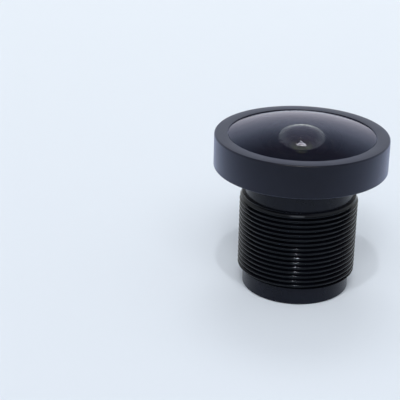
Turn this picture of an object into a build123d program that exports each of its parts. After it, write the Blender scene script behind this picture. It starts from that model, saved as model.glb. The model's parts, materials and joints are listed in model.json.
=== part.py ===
from build123d import *
import os
from math import radians, sqrt, tan

os.makedirs("parts", exist_ok=True)

# A fisheye board lens. Millimetres. The optical axis is Z, the rear end face lies on z = 0,
# and the lens looks along +Z. Radii are measured from the axis.

# Barrel, outside, from the rear end to the front
boss_radius = 5.45
boss_height = 2.0
boss_chamfer = 0.12
thread_radius = 6.0
thread_length = 8.1
thread_pitch = 0.5
thread_depth = 0.27
thread_crest = 0.11
thread_lead = 0.08
run_out_height = 0.5
run_out_depth = 0.24
neck_radius = 5.5
neck_length = 2.85
head_floor = 1.05

# Front element, the largest piece of glass, and the pocket that it drops into
front_rim_radius = 7.6
front_rim_height = 1.25
front_curve = 20.0
front_bowl_depth = 2.44
front_rear_ledge = 3.6
dome_recess = 0.12
head_wall = 0.4
wall_set_back = 0.15
head_thread_depth = 0.15
head_thread_crest = 0.13

# Front retaining ring, which screws over the head, and what it presses on
ring_wall = 0.65
ring_lip = 0.65
lip_overlap = 0.2
ring_outer_bevel = 0.17
ring_foot_bevel = 0.08
ring_inner_bevel = 0.07
gasket_height = 0.2
washer_height = 0.1
o_ring_cord = 0.32
o_ring_inset = 0.75
o_ring_play = 0.08
mask_height = 0.1

# Second element and its spacer
second_rim_radius = 4.15
second_rim_height = 1.1
second_front_curve = 8.0
second_front_ledge = 0.6
second_rear_depth = 1.31
second_rear_ledge = 1.95
front_spacer_height = 0.6
front_baffle_height = 0.1

# Third element and the aperture stop
third_rim_radius = 3.5
third_rim_height = 1.3
third_front_curve = 5.0
third_front_ledge = 0.9
third_rear_curve = 9.0
third_rear_ledge = 1.1
middle_spacer_height = 1.0
stop_spacer_height = 0.9
stop_height = 0.15
stop_radius = 0.8

# Cemented doublet
doublet_rim_radius = 3.0
doublet_spacer_height = 0.75
crown_rim_height = 0.9
crown_front_curve = 4.5
crown_front_ledge = 0.9
cement_depth = 1.03
cement_ledge = 0.4
cement_height = 0.02
flint_rim_height = 1.28
flint_rear_curve = 12.0
flint_rear_ledge = 0.6

# Rear element
rear_spacer_height = 1.2
rear_rim_height = 1.3
rear_front_curve = 5.5
rear_front_ledge = 0.6
rear_rear_curve = 7.0
rear_rear_ledge = 0.7
rear_baffle_height = 0.1

# Filter and its retaining ring, in the recess of the rear end
filter_radius = 4.2
filter_height = 0.4
filter_recess = 1.5
filter_ring_height = 0.8
filter_ring_width = 0.95
slot_width = 0.7
slot_depth = 0.35

# Fits and cuts
glass_fit = 0.05
spacer_fit = 0.02
thread_fit = 0.05
rim_gap = 0.08
spacer_bevel = 0.15
overrun = 0.02
flank_angle = 30
spill_share = 0.2

# Heights of the barrel's steps, from the rear end up
thread_low = boss_height
thread_high = thread_low + thread_length
head_low = thread_high + neck_length
seat = head_low + head_floor
front_rear = seat + mask_height
front_ledge = front_rear + front_rim_height
head_high = front_ledge - wall_set_back
gasket_high = front_ledge + gasket_height
washer_high = gasket_high + washer_height
ring_high = washer_high + ring_lip

# Heights of what is stacked in the bore, from the seat down
second_front = seat - front_spacer_height
second_rear = second_front - second_rim_height
first_shoulder = second_rear - front_baffle_height
third_front = first_shoulder - middle_spacer_height
third_rear = third_front - third_rim_height
stop_high = third_rear - stop_spacer_height
second_shoulder = stop_high - stop_height
crown_front = second_shoulder - doublet_spacer_height
crown_rear = crown_front - crown_rim_height
flint_front = crown_rear - cement_height
flint_rear = flint_front - flint_rim_height
rear_front = flint_rear - rear_spacer_height
rear_rear = rear_front - rear_rim_height
third_shoulder = rear_rear - rear_baffle_height

# Radii of the polished faces, inside the flat ledges of each element
front_bowl_radius = front_rim_radius - front_rear_ledge
second_front_clear = second_rim_radius - second_front_ledge
second_rear_clear = second_rim_radius - second_rear_ledge
third_front_clear = third_rim_radius - third_front_ledge
third_rear_clear = third_rim_radius - third_rear_ledge
crown_front_clear = doublet_rim_radius - crown_front_ledge
cement_clear = doublet_rim_radius - cement_ledge
flint_rear_clear = doublet_rim_radius - flint_rear_ledge
rear_front_clear = doublet_rim_radius - rear_front_ledge
rear_rear_clear = doublet_rim_radius - rear_rear_ledge

# Radii that follow from the pieces that fit together
thread_root = thread_radius - thread_depth
pocket_radius = front_rim_radius + glass_fit
head_radius = pocket_radius + head_wall
ring_bore = head_radius + thread_fit
ring_radius = ring_bore + ring_wall
opening_radius = front_rim_radius - lip_overlap
dome_radius = opening_radius - rim_gap
first_bore = second_rim_radius + glass_fit
second_bore = third_rim_radius + glass_fit
third_bore = doublet_rim_radius + glass_fit
rear_bore = rear_rear_clear + spacer_bevel
recess_radius = filter_radius + glass_fit + spacer_bevel
filter_ring_radius = recess_radius - thread_fit
filter_ring_bore = filter_ring_radius - filter_ring_width
o_ring_radius = front_rim_radius - o_ring_inset
o_ring_groove = o_ring_cord + o_ring_play
o_ring_depth = 2 * o_ring_cord - mask_height


def sag(curve, reach):
    """How far a sphere of this radius falls away between its axis and this distance from it."""
    return curve - sqrt(curve**2 - reach**2)


def curve_over(reach, depth):
    """The radius of the sphere that falls away this far over this distance from the axis."""
    return (reach**2 + depth**2) / (2 * depth)


def bulge(curve, reach, edge, way):
    """The arc of half a lens surface, from the axis out. Its middle is above (way 1) or below its edge."""
    apex = edge + way * sag(curve, reach)
    middle = apex - way * sag(curve, reach / 2)
    ThreePointArc((0, apex), (reach / 2, middle), (reach, edge))
    return apex


def element_profile(rim, front, rear, front_curve, front_clear, rear_curve, rear_clear, rear_way):
    """Half a lens with a convex front, flat ledges at its rim and a convex (-1) or hollow (1) rear."""
    with BuildSketch(Plane.XZ) as profile:
        with BuildLine():
            top = bulge(front_curve, front_clear, front, 1)
            Polyline((front_clear, front), (rim, front), (rim, rear), (rear_clear, rear))
            low = bulge(rear_curve, rear_clear, rear, rear_way)
            Line((0, low), (0, top))
        make_face()
    return profile.sketch


def ring_profile(outer, inner, low, high):
    """The section of a flat ring."""
    with BuildSketch(Plane.XZ) as profile:
        with BuildLine():
            Polyline((inner, low), (outer, low), (outer, high), (inner, high), close=True)
        make_face()
    return profile.sketch


def spacer_profile(outer, inner, low, high):
    """The section of a ring whose bore opens in a bevel at both ends."""
    with BuildSketch(Plane.XZ) as profile:
        with BuildLine():
            Polyline(
                (inner + spacer_bevel, low),
                (outer, low),
                (outer, high),
                (inner + spacer_bevel, high),
                (inner, high - spacer_bevel),
                (inner, low + spacer_bevel),
                close=True,
            )
        make_face()
    return profile.sketch


def bevel_profile(wall, depth, end, height, way):
    """What a bevel takes off the upper (way 1) or lower (way -1) end of a wall, run past both its edges."""
    outer = wall + depth * spill_share
    inner = wall - depth * (1 + spill_share)
    near = end - way * height * (1 + spill_share)
    far = end + way * height * spill_share
    with BuildSketch(Plane.XZ) as profile:
        with BuildLine():
            Polyline((outer, near), (inner, far), (outer, far), close=True)
        make_face()
    return profile.sketch


def grooved_wall(wall, root, crest, low, high):
    """The points of a wall cut by V grooves a pitch apart, from its lower end to its upper one."""
    run = abs(wall - root) * tan(radians(flank_angle))
    count = int((high - low) / thread_pitch)
    first = low + (high - low - count * thread_pitch + crest) / 2
    points = [(wall, low)]
    for index in range(count):
        foot = first + index * thread_pitch
        top = foot + thread_pitch - crest
        points += [(wall, foot), (root, foot + run), (root, top - run), (wall, top)]
    points.append((wall, high))
    return points


# Barrel: boss, thread, neck and head in one, with its stepped bore
with BuildPart() as barrel:
    with BuildSketch(Plane.XZ):
        with BuildLine():
            thread_points = grooved_wall(thread_radius, thread_root, thread_crest, thread_low, thread_high)
            Polyline((0, thread_low), *thread_points, (0, thread_high), close=True)
        make_face()
    revolve(axis=Axis.Z)
    lead = bevel_profile(thread_radius, thread_lead, thread_low, thread_lead, -1)
    revolve(lead, axis=Axis.Z, mode=Mode.SUBTRACT)
    run_out = bevel_profile(thread_radius, run_out_depth, thread_high, run_out_height, 1)
    revolve(run_out, axis=Axis.Z, mode=Mode.SUBTRACT)
    with BuildSketch(Plane.XZ):
        with BuildLine():
            Polyline(
                (0, 0),
                (boss_radius - boss_chamfer, 0),
                (boss_radius, boss_chamfer),
                (boss_radius, thread_low),
                (0, thread_low),
                close=True,
            )
        make_face()
        with Locations((0, thread_high)):
            Rectangle(neck_radius, neck_length, align=Align.MIN)
        with BuildLine():
            head_root = head_radius - head_thread_depth
            head_points = grooved_wall(head_radius, head_root, head_thread_crest, head_low, head_high)
            Polyline((0, head_low), *head_points, (0, head_high), close=True)
        make_face()
    revolve(axis=Axis.Z)
    with BuildSketch(Plane.XZ):
        with BuildLine():
            Polyline(
                (0, 0),
                (recess_radius, 0),
                (recess_radius, filter_recess),
                (rear_bore, filter_recess),
                (rear_bore, third_shoulder),
                (third_bore, third_shoulder),
                (third_bore, second_shoulder),
                (second_bore, second_shoulder),
                (second_bore, first_shoulder),
                (first_bore, first_shoulder),
                (first_bore, seat),
                (pocket_radius, seat),
                (pocket_radius, head_high),
                (0, head_high),
                close=True,
            )
        make_face()
        with Locations((o_ring_radius, seat - o_ring_depth)):
            Rectangle(2 * o_ring_groove, o_ring_depth + overrun, align=(Align.CENTER, Align.MIN))
    revolve(axis=Axis.Z, mode=Mode.SUBTRACT)

# Front retaining ring: a cap with a wide opening, screwed over the head
with BuildPart() as front_retaining_ring:
    with BuildSketch(Plane.XZ):
        with BuildLine():
            bore_root = ring_bore + head_thread_depth
            bore_points = grooved_wall(ring_bore, bore_root, head_thread_crest, head_low, washer_high)
            Polyline(
                *bore_points,
                (opening_radius, washer_high),
                (opening_radius, ring_high - ring_inner_bevel),
                (opening_radius + ring_inner_bevel, ring_high),
                (ring_radius - ring_outer_bevel, ring_high),
                (ring_radius, ring_high - ring_outer_bevel),
                (ring_radius, head_low + ring_foot_bevel),
                (ring_radius - ring_foot_bevel, head_low),
                close=True,
            )
        make_face()
    revolve(axis=Axis.Z)

# Slip washer under the ring's lip
with BuildPart() as slip_washer:
    washer = ring_profile(head_radius - thread_fit, opening_radius + thread_fit, gasket_high, washer_high)
    revolve(washer, axis=Axis.Z)

# Flat rubber gasket on the front element's ledge
with BuildPart() as front_gasket:
    gasket = ring_profile(head_radius - thread_fit, dome_radius + spacer_fit, front_ledge, gasket_high)
    revolve(gasket, axis=Axis.Z)

# Front element: a wide meniscus with a stepped rim and a deep bowl behind
with BuildPart() as front_element:
    dome_edge = ring_high - dome_recess
    with BuildSketch(Plane.XZ):
        with BuildLine():
            dome_top = bulge(front_curve, dome_radius, dome_edge, 1)
            Polyline(
                (dome_radius, dome_edge),
                (dome_radius, front_ledge),
                (front_rim_radius, front_ledge),
                (front_rim_radius, front_rear),
                (front_bowl_radius, front_rear),
            )
            front_bowl_curve = curve_over(front_bowl_radius, front_bowl_depth)
            bowl_top = bulge(front_bowl_curve, front_bowl_radius, front_rear, 1)
            Line((0, bowl_top), (0, dome_top))
        make_face()
    revolve(axis=Axis.Z)

# O-ring in the groove of the pocket's floor
with BuildPart() as o_ring:
    with BuildSketch(Plane.XZ):
        with Locations((o_ring_radius, front_rear - o_ring_cord)):
            Circle(o_ring_cord)
    revolve(axis=Axis.Z)

# Thin black mask between the front element and the pocket's floor
with BuildPart() as front_mask:
    revolve(ring_profile(o_ring_radius - o_ring_groove, front_bowl_radius, seat, front_rear), axis=Axis.Z)

with BuildPart() as front_spacer:
    revolve(spacer_profile(first_bore - spacer_fit, second_front_clear, second_front, seat), axis=Axis.Z)

with BuildPart() as second_element:
    revolve(
        element_profile(
            second_rim_radius,
            second_front,
            second_rear,
            second_front_curve,
            second_front_clear,
            curve_over(second_rear_clear, second_rear_depth),
            second_rear_clear,
            1,
        ),
        axis=Axis.Z,
    )

with BuildPart() as front_baffle:
    disc = ring_profile(first_bore - spacer_fit, second_rear_clear, first_shoulder, second_rear)
    revolve(disc, axis=Axis.Z)

with BuildPart() as middle_spacer:
    tube = spacer_profile(second_bore - spacer_fit, third_front_clear, third_front, first_shoulder)
    revolve(tube, axis=Axis.Z)

with BuildPart() as third_element:
    revolve(
        element_profile(
            third_rim_radius,
            third_front,
            third_rear,
            third_front_curve,
            third_front_clear,
            third_rear_curve,
            third_rear_clear,
            -1,
        ),
        axis=Axis.Z,
    )

with BuildPart() as stop_spacer:
    revolve(spacer_profile(second_bore - spacer_fit, third_rear_clear, stop_high, third_rear), axis=Axis.Z)

with BuildPart() as aperture_stop:
    revolve(ring_profile(second_bore - spacer_fit, stop_radius, second_shoulder, stop_high), axis=Axis.Z)

with BuildPart() as doublet_spacer:
    tube = spacer_profile(third_bore - spacer_fit, crown_front_clear, crown_front, second_shoulder)
    revolve(tube, axis=Axis.Z)

with BuildPart() as doublet_crown:
    cement_curve = curve_over(cement_clear, cement_depth)
    revolve(
        element_profile(
            doublet_rim_radius,
            crown_front,
            crown_rear,
            crown_front_curve,
            crown_front_clear,
            cement_curve,
            cement_clear,
            -1,
        ),
        axis=Axis.Z,
    )

# The doublet's flint has a hollow front that follows the crown's rear, a layer of cement away
with BuildPart() as doublet_flint:
    with BuildSketch(Plane.XZ):
        with BuildLine():
            hollow = bulge(cement_curve, cement_clear, flint_front, -1)
            Polyline(
                (cement_clear, flint_front),
                (doublet_rim_radius, flint_front),
                (doublet_rim_radius, flint_rear),
                (flint_rear_clear, flint_rear),
            )
            flint_low = bulge(flint_rear_curve, flint_rear_clear, flint_rear, -1)
            Line((0, flint_low), (0, hollow))
        make_face()
    revolve(axis=Axis.Z)

with BuildPart() as rear_spacer:
    revolve(spacer_profile(third_bore - spacer_fit, rear_front_clear, rear_front, flint_rear), axis=Axis.Z)

with BuildPart() as rear_element:
    revolve(
        element_profile(
            doublet_rim_radius,
            rear_front,
            rear_rear,
            rear_front_curve,
            rear_front_clear,
            rear_rear_curve,
            rear_rear_clear,
            -1,
        ),
        axis=Axis.Z,
    )

with BuildPart() as rear_baffle:
    revolve(ring_profile(third_bore - spacer_fit, rear_rear_clear, third_shoulder, rear_rear), axis=Axis.Z)

# Infrared cut filter: a plane disc against the floor of the rear recess
with BuildPart() as ir_cut_filter:
    with BuildSketch(Plane.XY.offset(filter_recess)):
        Circle(filter_radius)
    extrude(amount=-filter_height)

# The filter's retaining ring, with two slots for a pin spanner in its rear face
with BuildPart() as filter_retaining_ring:
    ring_front = filter_recess - filter_height
    ring_rear = ring_front - filter_ring_height
    revolve(spacer_profile(filter_ring_radius, filter_ring_bore, ring_rear, ring_front), axis=Axis.Z)
    with BuildSketch(Plane.XY.offset(ring_rear)):
        Rectangle(2 * recess_radius, slot_width)
    extrude(amount=slot_depth, mode=Mode.SUBTRACT)

pieces = {
    "barrel": barrel,
    "front_retaining_ring": front_retaining_ring,
    "slip_washer": slip_washer,
    "front_gasket": front_gasket,
    "front_element": front_element,
    "o_ring": o_ring,
    "front_mask": front_mask,
    "front_spacer": front_spacer,
    "second_element": second_element,
    "front_baffle": front_baffle,
    "middle_spacer": middle_spacer,
    "third_element": third_element,
    "stop_spacer": stop_spacer,
    "aperture_stop": aperture_stop,
    "doublet_spacer": doublet_spacer,
    "doublet_crown": doublet_crown,
    "doublet_flint": doublet_flint,
    "rear_spacer": rear_spacer,
    "rear_element": rear_element,
    "rear_baffle": rear_baffle,
    "ir_cut_filter": ir_cut_filter,
    "filter_retaining_ring": filter_retaining_ring,
}
for label, piece in pieces.items():
    piece.part.label = label
    export_step(piece.part, f"parts/{label}.step")
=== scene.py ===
import json
from math import asin, cos, pi, radians, sin, sqrt, tan

import bmesh
import bpy
from mathutils import Matrix, Vector


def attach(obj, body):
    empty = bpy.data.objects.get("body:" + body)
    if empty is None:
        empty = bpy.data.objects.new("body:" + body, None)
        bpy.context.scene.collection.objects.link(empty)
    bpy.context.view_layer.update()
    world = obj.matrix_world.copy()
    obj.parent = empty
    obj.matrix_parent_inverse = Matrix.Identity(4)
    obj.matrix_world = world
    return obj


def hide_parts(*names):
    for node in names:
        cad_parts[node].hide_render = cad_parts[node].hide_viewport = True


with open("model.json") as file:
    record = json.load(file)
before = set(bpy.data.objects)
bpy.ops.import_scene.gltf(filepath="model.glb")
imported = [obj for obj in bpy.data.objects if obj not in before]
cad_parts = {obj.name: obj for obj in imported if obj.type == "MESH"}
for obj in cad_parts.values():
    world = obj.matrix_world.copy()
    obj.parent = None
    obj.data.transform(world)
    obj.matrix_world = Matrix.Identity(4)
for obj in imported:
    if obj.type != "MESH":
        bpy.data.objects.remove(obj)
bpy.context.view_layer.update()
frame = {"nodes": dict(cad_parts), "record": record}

MM = 0.001
NODES = frame["nodes"]
RECORD_SLOTS = {part["node"]: part["material_slot"] for part in frame["record"]["subparts"]}
NODE_BODY = {node: body for body, held in frame["record"]["behaviour"]["bodies"].items() for node in held}

# The photograph's camera, fitted to the visible edges of the lens
CAMERA_PLACE = Vector((0.0, -116.66, 58.75)) * MM
CAMERA_YAW = radians(-4.93)
CAMERA_PITCH = radians(23.20)
CAMERA_ROLL = radians(-1.12)
CAMERA_FOCAL_PIXELS = 1242.62
PHOTO_PIXELS = 400
SENSOR_WIDTH = 36.0
CLIP_NEAR = 10 * MM
CLIP_FAR = 20.0

# The floor: its colours from near to far, and how far back and how far out each change goes, in metres
FLOOR_HALF = 3.0
# FLOOR_NEAR and FLOOR_FAR are painted light: the floor darker near the camera and paler further back.
FLOOR_NEAR, FLOOR_FAR, FLOOR_FURTHEST = (0.700, 0.755, 0.825), (0.800, 0.860, 0.925), (0.95, 0.98, 1.0)
NEAR_TO_FAR = (-0.030, 0.130)
FAR_TO_FURTHEST = (0.140, 0.260)
FLOOR_TO_WALLS = (0.26, 0.80)
FLOOR_ROUGHNESS = 0.9

# The studio: the light of its sky, and the background that is seen. WALLS_TO_OVERHEAD holds the sines of the
# angles above the floor between which it changes
SKY_LIGHT, SKY_LEVEL = (0.95, 0.97, 1.0), 0.45
WALLS, OVERHEAD = (0.97, 1.0, 1.0), (0.29, 0.22, 0.25)
WALLS_TO_OVERHEAD = (sin(radians(24)), sin(radians(50)))

# The lamps: place, width, height, level of brightness where 1 is white, colour, and the rays that miss them
WHITE, ROSY_WHITE = (1.0, 1.0, 1.0), (1.0, 0.97, 0.96)
LAMP_AIM = Vector((0.0, 0.0, 0.01))
LAMPS = {
    "key": ((-0.035, -0.95, 1.00), 0.24, 0.24, 19.0, WHITE, ("glossy",)),
    "front_fill": ((0.05, -0.90, 1.10), 1.30, 0.90, 3.15, WHITE, ("glossy", "transmission")),
    "back_fill": ((0.0, 0.55, 1.00), 0.55, 0.45, 3.3, WHITE, ("glossy", "transmission")),
    "overhead": ((-0.01, -0.53, 1.27), 0.05, 0.05, 392.0, WHITE, ()),
    "sparkle": ((-0.012, -0.53, 1.27), 0.10, 0.10, 560.0, WHITE, ("diffuse", "transmission")),
    "glass_window": ((-0.01, -1.15, 0.74), 0.84, 0.42, 12.0, ROSY_WHITE, ("diffuse", "glossy")),
    "metal_window": ((-0.01, -1.15, 0.64), 0.60, 0.30, 3.0, WHITE, ("diffuse", "transmission")),
}

# The finishes: the scales of their noise, the part of its range over which colour, roughness and haze change,
# and the strength and depth of their relief
TURNING_SCALE, GRAIN_SCALE, MOTTLE_SCALE = 9000.0, 14000.0, 420.0
FILM_GRAIN_SCALE, PATCH_SCALE, HAZE_SCALE = 9000.0, 700.0, 260.0
COLOUR_SPAN, ROUGH_SPAN, HAZE_SPAN = (0.35, 0.7), (0.3, 0.7), (0.4, 0.75)
ANODISED_RELIEF, FILM_RELIEF = (0.35, 0.012 * MM), (0.3, 0.01 * MM)
BLOOM_TINT, BLOOM_ROUGHNESS = (0.55, 0.64, 1.0), 0.5
PATCH_GAIN, PATCH_ROUGHNESS = 1.6, 0.06
HAZE_ROUGHNESS = 0.012
COATING_INDEX = 1.38

# Sizes of the pieces made here, in millimetres, the same as the solids they stand for
BOSS_RADIUS, BOSS_CHAMFER = 5.45, 0.12
THREAD_RADIUS, THREAD_ROOT, THREAD_PITCH = 6.0, 5.73, 0.5
THREAD_LOW, THREAD_HIGH = 2.0, 10.1
LEAD, RUN_OUT_HEIGHT, RUN_OUT_DEPTH = 0.08, 0.5, 0.24
NECK_RADIUS = 5.5
HEAD_RADIUS, HEAD_LOW, HEAD_HIGH = 8.05, 12.95, 15.2
HEAD_THREAD_DEPTH, HEAD_THREAD_CREST = 0.15, 0.13
FLANK = tan(radians(30))
POCKET_RADIUS, SEAT = 7.65, 14.0
O_RING_OUT, O_RING_IN, O_RING_FLOOR = 7.25, 6.45, 13.46
BORES = ((4.2, 12.2), (3.55, 8.85), (3.05, 3.3), (2.45, 1.5), (4.4, 0.0))
RING_RADIUS, RING_BORE, RING_OPENING, RING_HIGH, LIP_LOW = 8.75, 8.1, 7.4, 16.3, 15.65
RING_ROUND, FOOT_ROUND, OPENING_ROUND = 0.17, 0.08, 0.07
FRONT_LEDGE, FRONT_REAR, FRONT_RIM = 15.35, 14.1, 7.6
BOWL_RADIUS, BOWL_DEPTH = 4.0, 2.44

# Not quite as in the solids: the thread's crests are rounded here, and the dome has its full height, but its
# edge stands 0.06 mm higher and 0.04 mm further out, so that only a thin line parts it from the ring
THREAD_CREST, CREST_ROUND = 0.11, 0.07
CREST_TURNS = (0, 15, 30, 45, 60)
DOME_CURVE, DOME_RADIUS, DOME_EDGE = 21.06, 7.36, 16.24

# The inner elements: finish, rim radius, then height, curve, clear radius and way of each polished face
INNER_ELEMENTS = {
    "second_element": ("meniscus_glass", 4.15, (13.4, 8.0, 3.55, 1), (12.3, 2.502, 2.2, 1)),
    "third_element": ("inner_glass", 3.5, (11.2, 5.0, 2.6, 1), (9.9, 9.0, 2.4, -1)),
    "doublet_crown": ("inner_glass", 3.0, (8.1, 4.5, 2.1, 1), (7.2, 3.797, 2.6, -1)),
    "doublet_flint": ("inner_glass", 3.0, (7.18, 3.797, 2.6, -1), (5.9, 12.0, 2.4, -1)),
    "rear_element": ("inner_glass", 3.0, (4.7, 5.5, 2.4, 1), (3.4, 7.0, 2.3, -1)),
}

# How finely the round pieces are made: columns in a turn, steps in an arc, and the gap that is welded, in
# millimetres. An edge that bends more than SHARP stays crisp
COLUMNS = 192
ROUND_STEPS, POLISH_STEPS = 6, 36
WELD = 0.0002
SHARP = radians(26)


class Nodes:
    """Adds nodes to one tree and links them."""

    def __init__(self, tree, end):
        self.tree = tree
        tree.nodes.clear()
        self.end = tree.nodes.new(end)

    def put(self, node, name, value):
        """Give one input of a node a value, or another node's output."""
        target = node.inputs[name]
        if isinstance(value, bpy.types.NodeSocket):
            self.tree.links.new(value, target)
        elif hasattr(value, "__len__") and len(value) == 3 and len(target.default_value) == 4:
            target.default_value = (*value, 1.0)
        else:
            target.default_value = value

    def node(self, kind, output=0, **inputs):
        made = self.tree.nodes.new(kind)
        for name, value in inputs.items():
            self.put(made, name.replace("_", " "), value)
        return made.outputs[output]

    def show(self, surface):
        self.tree.links.new(surface, self.end.inputs[0])

    def math(self, operation, first, second=0.0):
        made = self.tree.nodes.new("ShaderNodeMath")
        made.operation = operation
        self.put(made, 0, first)
        self.put(made, 1, second)
        return made.outputs[0]

    def split(self, vector):
        """The X, Y and Z of a vector."""
        made = self.tree.nodes.new("ShaderNodeSeparateXYZ")
        self.put(made, 0, vector)
        return made.outputs

    def between(self, value, low, high, start=0.0, end=1.0):
        """A value between start and end, as another goes from low to high."""
        made = self.tree.nodes.new("ShaderNodeMapRange")
        for index, number in enumerate((value, low, high, start, end)):
            self.put(made, index, number)
        return made.outputs[0]

    def mix(self, share, first, second):
        """A mix of two colours, which are inputs 6 and 7 and output 2 of its node."""
        made = self.tree.nodes.new("ShaderNodeMix")
        made.data_type = "RGBA"
        for index, value in ((0, share), (6, first), (7, second)):
            self.put(made, index, value)
        return made.outputs[2]

    def mix_surfaces(self, share, first, second):
        made = self.tree.nodes.new("ShaderNodeMixShader")
        for index, value in enumerate((share, first, second)):
            self.put(made, index, value)
        return made.outputs[0]

    def seen_ray(self):
        """One for a ray from the camera, or one that gloss or glass has sent on, and zero for the rest."""
        path = self.tree.nodes.new("ShaderNodeLightPath").outputs
        seen = self.math("MAXIMUM", path["Is Camera Ray"], path["Is Glossy Ray"])
        return self.math("MAXIMUM", seen, path["Is Transmission Ray"])


class Shader(Nodes):
    """The nodes of one material, round its principled surface."""

    def __init__(self, name):
        self.material = bpy.data.materials.new(name)
        self.material.use_nodes = True
        super().__init__(self.material.node_tree, "ShaderNodeOutputMaterial")
        self.surface = self.tree.nodes.new("ShaderNodeBsdfPrincipled")
        self.show(self.surface.outputs[0])

    def set(self, **values):
        for name, value in values.items():
            self.put(self.surface, name.replace("_", " "), value)

    def place(self):
        return self.node("ShaderNodeTexCoord", output="Object")

    def turned_place(self):
        """The distance from the optical axis and the height, which a turned surface's marks follow."""
        x, y, z = self.split(self.place())
        squares = self.math("ADD", self.math("MULTIPLY", x, x), self.math("MULTIPLY", y, y))
        return self.math("SQRT", squares), z

    def noise(self, place, scale, detail=2.0, roughness=0.5):
        return self.node("ShaderNodeTexNoise", Vector=place, Scale=scale, Detail=detail, Roughness=roughness)

    def bump(self, height, strength, distance):
        return self.node("ShaderNodeBump", Height=height, Strength=strength, Distance=distance)


def anodised(name, dark, light, rough, specular, turning, grain, bloom=0.0, gloss=WHITE):
    """Black anodised aluminium: turning marks round the axis, satin grain, faint mottle and bluish bloom."""
    shader = Shader(name)
    radius, height = shader.turned_place()
    place = shader.place()
    marks = shader.noise(shader.node("ShaderNodeCombineXYZ", X=radius, Z=height), TURNING_SCALE, detail=3.0)
    fine = shader.noise(place, GRAIN_SCALE)
    mottle = shader.noise(place, MOTTLE_SCALE, detail=4.0, roughness=0.6)
    relief = shader.math("ADD", shader.math("MULTIPLY", marks, turning), shader.math("MULTIPLY", fine, grain))
    shader.set(
        Base_Color=shader.mix(shader.between(mottle, *COLOUR_SPAN), dark, light),
        Roughness=shader.between(mottle, *ROUGH_SPAN, *rough),
        Specular_IOR_Level=specular,
        Specular_Tint=gloss,
        Sheen_Weight=bloom,
        Sheen_Roughness=BLOOM_ROUGHNESS,
        Sheen_Tint=BLOOM_TINT,
        Normal=shader.bump(relief, *ANODISED_RELIEF),
    )
    return name, shader.material


def matt_black(name, colour, roughness, specular=0.2):
    """Matt black film, paint or rubber with a fine grain."""
    shader = Shader(name)
    place = shader.place()
    grain = shader.noise(place, FILM_GRAIN_SCALE)
    patches = shader.noise(place, PATCH_SCALE, detail=3.0)
    rough = (roughness - PATCH_ROUGHNESS, roughness + PATCH_ROUGHNESS)
    shader.set(
        Base_Color=shader.mix(patches, colour, tuple(share * PATCH_GAIN for share in colour)),
        Roughness=shader.between(patches, *ROUGH_SPAN, *rough),
        Specular_IOR_Level=specular,
        Normal=shader.bump(grain, *FILM_RELIEF),
    )
    return name, shader.material


def coated_glass(name, tint, reflected, index, film):
    """Optical glass. Its anti-reflection film is this many nanometres thick and reflects this colour."""
    shader = Shader(name)
    haze = shader.noise(shader.place(), HAZE_SCALE, detail=3.0)
    shader.set(
        Base_Color=tint,
        Roughness=shader.between(haze, *HAZE_SPAN, 0.0, HAZE_ROUGHNESS),
        IOR=index,
        Transmission_Weight=1.0,
        Specular_Tint=reflected,
        Thin_Film_Thickness=film,
        Thin_Film_IOR=COATING_INDEX,
    )
    return name, shader.material


def make_finishes():
    """The materials by name: one for each slot of the record, and four more, for the barrel's thread, whose
    darker colour is painted shade, the paint on the edges of the glass, the hollow under the dome and the
    element below it."""
    return dict((
        anodised(
            "barrel_black", (0.0022, 0.0028, 0.0060), (0.0040, 0.0048, 0.0100), rough=(0.20, 0.28),
            specular=0.20, turning=1.0, grain=0.4, bloom=0.05, gloss=(0.85, 0.90, 1.0)
        ),
        # The thread's darker base colour is painted shade for its grooves; its smoother gloss is its own.
        anodised(
            "thread_shaded_black", (0.0006, 0.0009, 0.0019), (0.0012, 0.0016, 0.0032), rough=(0.07, 0.11),
            specular=0.20, turning=0.8, grain=0.3, gloss=(0.80, 0.88, 1.0)
        ),
        anodised(
            "ring_black", (0.0009, 0.0014, 0.0045), (0.0020, 0.0028, 0.0068), rough=(0.30, 0.38),
            specular=0.15, turning=0.4, grain=1.0, bloom=0.37
        ),
        anodised(
            "spacer_black", (0.003, 0.003, 0.003), (0.005, 0.005, 0.005), rough=(0.5, 0.62),
            specular=0.0, turning=1.0, grain=0.5
        ),
        matt_black("washer_black", (0.006, 0.006, 0.006), roughness=0.6),
        matt_black("mask_black", (0.003, 0.003, 0.003), roughness=0.75, specular=0.0),
        matt_black("rubber_black", (0.008, 0.008, 0.008), roughness=0.7, specular=0.35),
        matt_black("edge_paint", (0.002, 0.002, 0.0025), roughness=0.6, specular=0.0),
        coated_glass("front_glass", (0.97, 0.985, 0.98), (0.985, 0.88, 1.0), index=1.52, film=176.0),
        coated_glass("bowl_glass", (0.97, 0.985, 0.98), (0.72, 0.73, 0.90), index=1.52, film=0.0),
        coated_glass("meniscus_glass", (0.97, 0.985, 0.97), (0.25, 0.26, 0.30), index=1.60, film=110.0),
        coated_glass("inner_glass", (0.96, 0.985, 0.96), (0.58, 0.78, 0.34), index=1.60, film=100.0),
        coated_glass("filter_glass", (0.80, 0.97, 0.94), (0.9, 0.45, 0.40), index=1.52, film=0.0),
    ))


def paint_nodes(finishes):
    """Every CAD piece gets the finish of its material slot."""
    for node, piece in NODES.items():
        piece.data.materials.clear()
        piece.data.materials.append(finishes[RECORD_SLOTS[node]])


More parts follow.
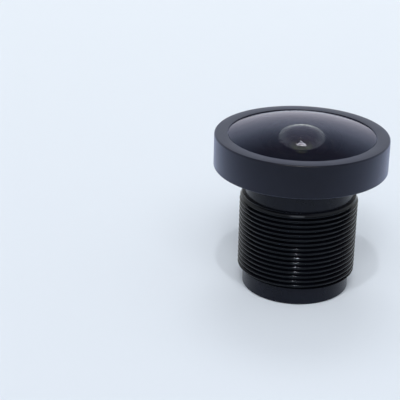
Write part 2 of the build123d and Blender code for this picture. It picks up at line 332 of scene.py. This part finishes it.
def turned_piece(name, node, section, materials, sides=None):
    """A closed round piece that stands for a node. Its section is a list of radius and height, or makes one
    for each angle, and sides tells which of the materials each of the section's sides has."""
    mesh_data = bmesh.new()
    rows = []
    for column in range(COLUMNS + 1):
        angle = 2 * pi * column / COLUMNS
        points = section(angle) if callable(section) else section
        rows.append([mesh_data.verts.new((r * cos(angle), r * sin(angle), z)) for r, z in points])
    count = len(rows[0])
    for near, far in zip(rows, rows[1:]):
        for index in range(count):
            after = (index + 1) % count
            face = mesh_data.faces.new((near[index], far[index], far[after], near[after]))
            face.smooth = True
            face.material_index = sides[index] if sides else 0
    bmesh.ops.remove_doubles(mesh_data, verts=mesh_data.verts, dist=WELD)
    loose = [edge for edge in mesh_data.edges if not edge.link_faces]
    bmesh.ops.delete(mesh_data, geom=loose, context="EDGES")
    bmesh.ops.recalc_face_normals(mesh_data, faces=mesh_data.faces)
    for edge in mesh_data.edges:
        edge.smooth = edge.calc_face_angle(0.0) < SHARP
    mesh_data.transform(Matrix.Scale(MM, 4))
    mesh = bpy.data.meshes.new(name)
    mesh_data.to_mesh(mesh)
    mesh_data.free()
    for material in materials:
        mesh.materials.append(material)
    piece = bpy.data.objects.new(name, mesh)
    bpy.context.scene.collection.objects.link(piece)
    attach(piece, NODE_BODY[node])
    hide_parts(node)


def rounded(radius, height, size, start, end):
    """An arc of the section round a middle point, between two angles counted from straight outwards."""
    turns = [radians(start + (end - start) * step / ROUND_STEPS) for step in range(ROUND_STEPS + 1)]
    return [(radius + size * cos(turn), height + size * sin(turn)) for turn in turns]


def grooved(wall, root, crest, low, high):
    """The points of a wall cut by V grooves a pitch apart, from its lower end to its upper one."""
    run = abs(wall - root) * FLANK
    count = int((high - low) / THREAD_PITCH)
    first = low + (high - low - count * THREAD_PITCH + crest) / 2
    points = [(wall, low)]
    for index in range(count):
        foot = first + index * THREAD_PITCH
        top = foot + THREAD_PITCH - crest
        points += [(wall, foot), (root, foot + run), (root, top - run), (wall, top)]
    points.append((wall, high))
    return points


def thread_offsets():
    """Where one pitch of the thread is sampled, counted in height from the middle of its crest."""
    half = THREAD_CREST / 2
    middle = half - CREST_ROUND * FLANK
    rise = [middle + CREST_ROUND * sin(radians(turn)) for turn in CREST_TURNS]
    rise.append(half + (THREAD_RADIUS - THREAD_ROOT) * FLANK)
    return [-offset for offset in reversed(rise)] + rise


def thread_radius(offset):
    """The thread's radius this far in height from the middle of a crest, whose edges are rounded."""
    half = THREAD_CREST / 2
    middle = half - CREST_ROUND * FLANK
    offset = abs(offset)
    if offset <= middle:
        return THREAD_RADIUS
    if offset <= middle + CREST_ROUND * sin(radians(CREST_TURNS[-1])):
        return THREAD_RADIUS - CREST_ROUND + sqrt(CREST_ROUND**2 - (offset - middle) ** 2)
    return max(THREAD_ROOT, THREAD_RADIUS - (offset - half) / FLANK)


def thread_section(angle):
    """The thread at one angle. It climbs a pitch in each turn, right-handed, where the solid has closed
    grooves, from a lead at its foot to a run-out at its top."""
    climb = THREAD_LOW + THREAD_PITCH * angle / (2 * pi)
    offsets = thread_offsets()
    points = []
    for turn in range(-1, int((THREAD_HIGH - THREAD_LOW) / THREAD_PITCH) + 2):
        for offset in offsets:
            height = min(max(climb + turn * THREAD_PITCH + offset, THREAD_LOW), THREAD_HIGH)
            phase = (height - climb) / THREAD_PITCH
            wall = thread_radius((phase - round(phase)) * THREAD_PITCH)
            lead = THREAD_RADIUS - LEAD + height - THREAD_LOW
            past = max(0.0, height - THREAD_HIGH + RUN_OUT_HEIGHT) / RUN_OUT_HEIGHT
            points.append((min(wall, lead, THREAD_RADIUS - RUN_OUT_DEPTH * past), height))
    return points


def barrel_section(angle):
    """The barrel's section at one angle, from its foot up the outside and down the inside."""
    points = [(BOSS_RADIUS - BOSS_CHAMFER, 0.0), (BOSS_RADIUS, BOSS_CHAMFER), (BOSS_RADIUS, THREAD_LOW)]
    points += thread_section(angle)
    points += [(NECK_RADIUS, THREAD_HIGH), (NECK_RADIUS, HEAD_LOW)]
    points += grooved(HEAD_RADIUS, HEAD_RADIUS - HEAD_THREAD_DEPTH, HEAD_THREAD_CREST, HEAD_LOW, HEAD_HIGH)
    points += [(POCKET_RADIUS, HEAD_HIGH), (POCKET_RADIUS, SEAT)]
    points += [(O_RING_OUT, SEAT), (O_RING_OUT, O_RING_FLOOR), (O_RING_IN, O_RING_FLOOR), (O_RING_IN, SEAT)]
    top = SEAT
    for radius, low in BORES:
        points += [(radius, top), (radius, low)]
        top = low
    return points


def ring_section():
    """The front ring's section, with rounded edges."""
    points = grooved(RING_BORE, RING_BORE + HEAD_THREAD_DEPTH, HEAD_THREAD_CREST, HEAD_LOW, LIP_LOW)
    points.append((RING_OPENING, LIP_LOW))
    points += rounded(RING_OPENING + OPENING_ROUND, RING_HIGH - OPENING_ROUND, OPENING_ROUND, 180, 90)
    points += rounded(RING_RADIUS - RING_ROUND, RING_HIGH - RING_ROUND, RING_ROUND, 90, 0)
    points += rounded(RING_RADIUS - FOOT_ROUND, HEAD_LOW + FOOT_ROUND, FOOT_ROUND, 0, -90)
    return points


def polished(height, curve, reach, way):
    """Half of a polished face, from the axis out. Its middle is above (way 1) or below its edge."""
    widest = asin(reach / curve)
    turns = [widest * step / POLISH_STEPS for step in range(POLISH_STEPS + 1)]
    return [(curve * sin(turn), height + way * curve * (cos(turn) - cos(widest))) for turn in turns]


def glass_piece(name, node, front, rim, rear, paint, front_glass, rear_glass=None):
    """A piece of glass with two polished faces and a painted rim between them."""
    materials = [front_glass, paint] + ([rear_glass] if rear_glass else [])
    sides = [0] * (len(front) - 1) + [1] * (len(rim) + 1) + [2 if rear_glass else 0] * len(rear)
    turned_piece(name, node, front + rim + rear[::-1], materials, sides)


def make_pieces(finishes):
    """The pieces that show, each in the place of its solid."""
    # The thread's sides take the second finish, whose darker colour is painted shade.
    blacks = [finishes["barrel_black"], finishes["thread_shaded_black"]]
    sides = [
        int(radius > BOSS_RADIUS and THREAD_LOW <= height < THREAD_HIGH)
        for radius, height in barrel_section(0.0)
    ]
    turned_piece("threaded_barrel", "barrel", barrel_section, blacks, sides)
    turned_piece("retaining_ring", "front_retaining_ring", ring_section(), [finishes["ring_black"]])

    paint = finishes["edge_paint"]
    dome = polished(DOME_EDGE, DOME_CURVE, DOME_RADIUS, 1)
    rim = [(DOME_RADIUS, FRONT_LEDGE), (FRONT_RIM, FRONT_LEDGE), (FRONT_RIM, FRONT_REAR)]
    bowl_curve = (BOWL_RADIUS**2 + BOWL_DEPTH**2) / (2 * BOWL_DEPTH)
    bowl = polished(FRONT_REAR, bowl_curve, BOWL_RADIUS, 1)
    glasses = (finishes["front_glass"], finishes["bowl_glass"])
    glass_piece("front_glass", "front_element", dome, rim, bowl, paint, *glasses)
    for node, (finish, radius, front, rear) in INNER_ELEMENTS.items():
        rim = [(radius, front[0]), (radius, rear[0])]
        glass_piece(node + "_glass", node, polished(*front), rim, polished(*rear), paint, finishes[finish])


def floor_material():
    """A plain matt sheet, painted a little paler further back as a change of light, that fades into the
    background far away.
    """
    shader = Shader("floor")
    back = shader.split(shader.place())["Y"]
    # Painted light: darker near the camera, paler further back.
    near = shader.mix(shader.between(back, *NEAR_TO_FAR), FLOOR_NEAR, FLOOR_FAR)
    shader.set(
        Base_Color=shader.mix(shader.between(back, *FAR_TO_FURTHEST), near, FLOOR_FURTHEST),
        Roughness=FLOOR_ROUGHNESS,
        Specular_IOR_Level=0.0,
    )
    distance = shader.turned_place()[0]
    faded = shader.math("MULTIPLY", shader.between(distance, *FLOOR_TO_WALLS), shader.seen_ray())
    wall = shader.node("ShaderNodeEmission", Color=WALLS, Strength=1.0)
    shader.show(shader.mix_surfaces(faded, shader.surface.outputs[0], wall))
    return shader.material


def make_floor():
    """A wide pale sheet that the lens stands on."""
    half = FLOOR_HALF
    corners = [(-half, -half, 0.0), (half, -half, 0.0), (half, half, 0.0), (-half, half, 0.0)]
    mesh = bpy.data.meshes.new("floor")
    mesh.from_pydata(corners, [], [(0, 1, 2, 3)])
    mesh.materials.append(floor_material())
    floor = bpy.data.objects.new("floor", mesh)
    bpy.context.scene.collection.objects.link(floor)


def make_world():
    """Soft even light, and a pale background for the camera, for gloss and for glass."""
    world = bpy.data.worlds.new("studio")
    bpy.context.scene.world = world
    world.use_nodes = True
    nodes = Nodes(world.node_tree, "ShaderNodeOutputWorld")
    light = nodes.node("ShaderNodeBackground", Color=SKY_LIGHT, Strength=SKY_LEVEL)
    height = nodes.split(nodes.node("ShaderNodeTexCoord", output="Generated"))["Z"]
    background = nodes.mix(nodes.between(height, *WALLS_TO_OVERHEAD), WALLS, OVERHEAD)
    seen = nodes.node("ShaderNodeBackground", Color=background, Strength=1.0)
    nodes.show(nodes.mix_surfaces(nodes.seen_ray(), light, seen))


def make_lamps():
    """Soft oval lamps. Their energy gives their face its level of brightness."""
    for name, (place, width, height, level, colour, hidden) in LAMPS.items():
        data = bpy.data.lights.new(name, "AREA")
        data.shape = "ELLIPSE"
        data.size = width
        data.size_y = height
        data.energy = level * pi * (pi / 4 * width * height)
        data.color = colour
        lamp = bpy.data.objects.new(name, data)
        bpy.context.scene.collection.objects.link(lamp)
        lamp.location = place
        lamp.rotation_euler = (LAMP_AIM - Vector(place)).to_track_quat("-Z", "Y").to_euler()
        for kind in hidden:
            setattr(lamp, "visible_" + kind, False)


def make_camera():
    """The photograph's camera, turned by its yaw, pitch and roll."""
    data = bpy.data.cameras.new("camera")
    data.sensor_width = SENSOR_WIDTH
    data.lens = CAMERA_FOCAL_PIXELS / PHOTO_PIXELS * SENSOR_WIDTH
    data.clip_start = CLIP_NEAR
    data.clip_end = CLIP_FAR
    camera = bpy.data.objects.new("camera", data)
    bpy.context.scene.collection.objects.link(camera)
    forward = Vector((
        sin(CAMERA_YAW) * cos(CAMERA_PITCH), cos(CAMERA_YAW) * cos(CAMERA_PITCH), -sin(CAMERA_PITCH)
    ))
    level_right = Vector((cos(CAMERA_YAW), -sin(CAMERA_YAW), 0.0))
    level_down = forward.cross(level_right)
    right = level_right * cos(CAMERA_ROLL) + level_down * sin(CAMERA_ROLL)
    down = level_down * cos(CAMERA_ROLL) - level_right * sin(CAMERA_ROLL)
    turn = Matrix((right, -down, -forward)).transposed()
    camera.matrix_world = Matrix.Translation(CAMERA_PLACE) @ turn.to_4x4()
    bpy.context.scene.camera = camera


bpy.context.scene.view_settings.view_transform = "Standard"
made_finishes = make_finishes()
paint_nodes(made_finishes)
make_pieces(made_finishes)
make_floor()
make_world()
make_lamps()
make_camera()
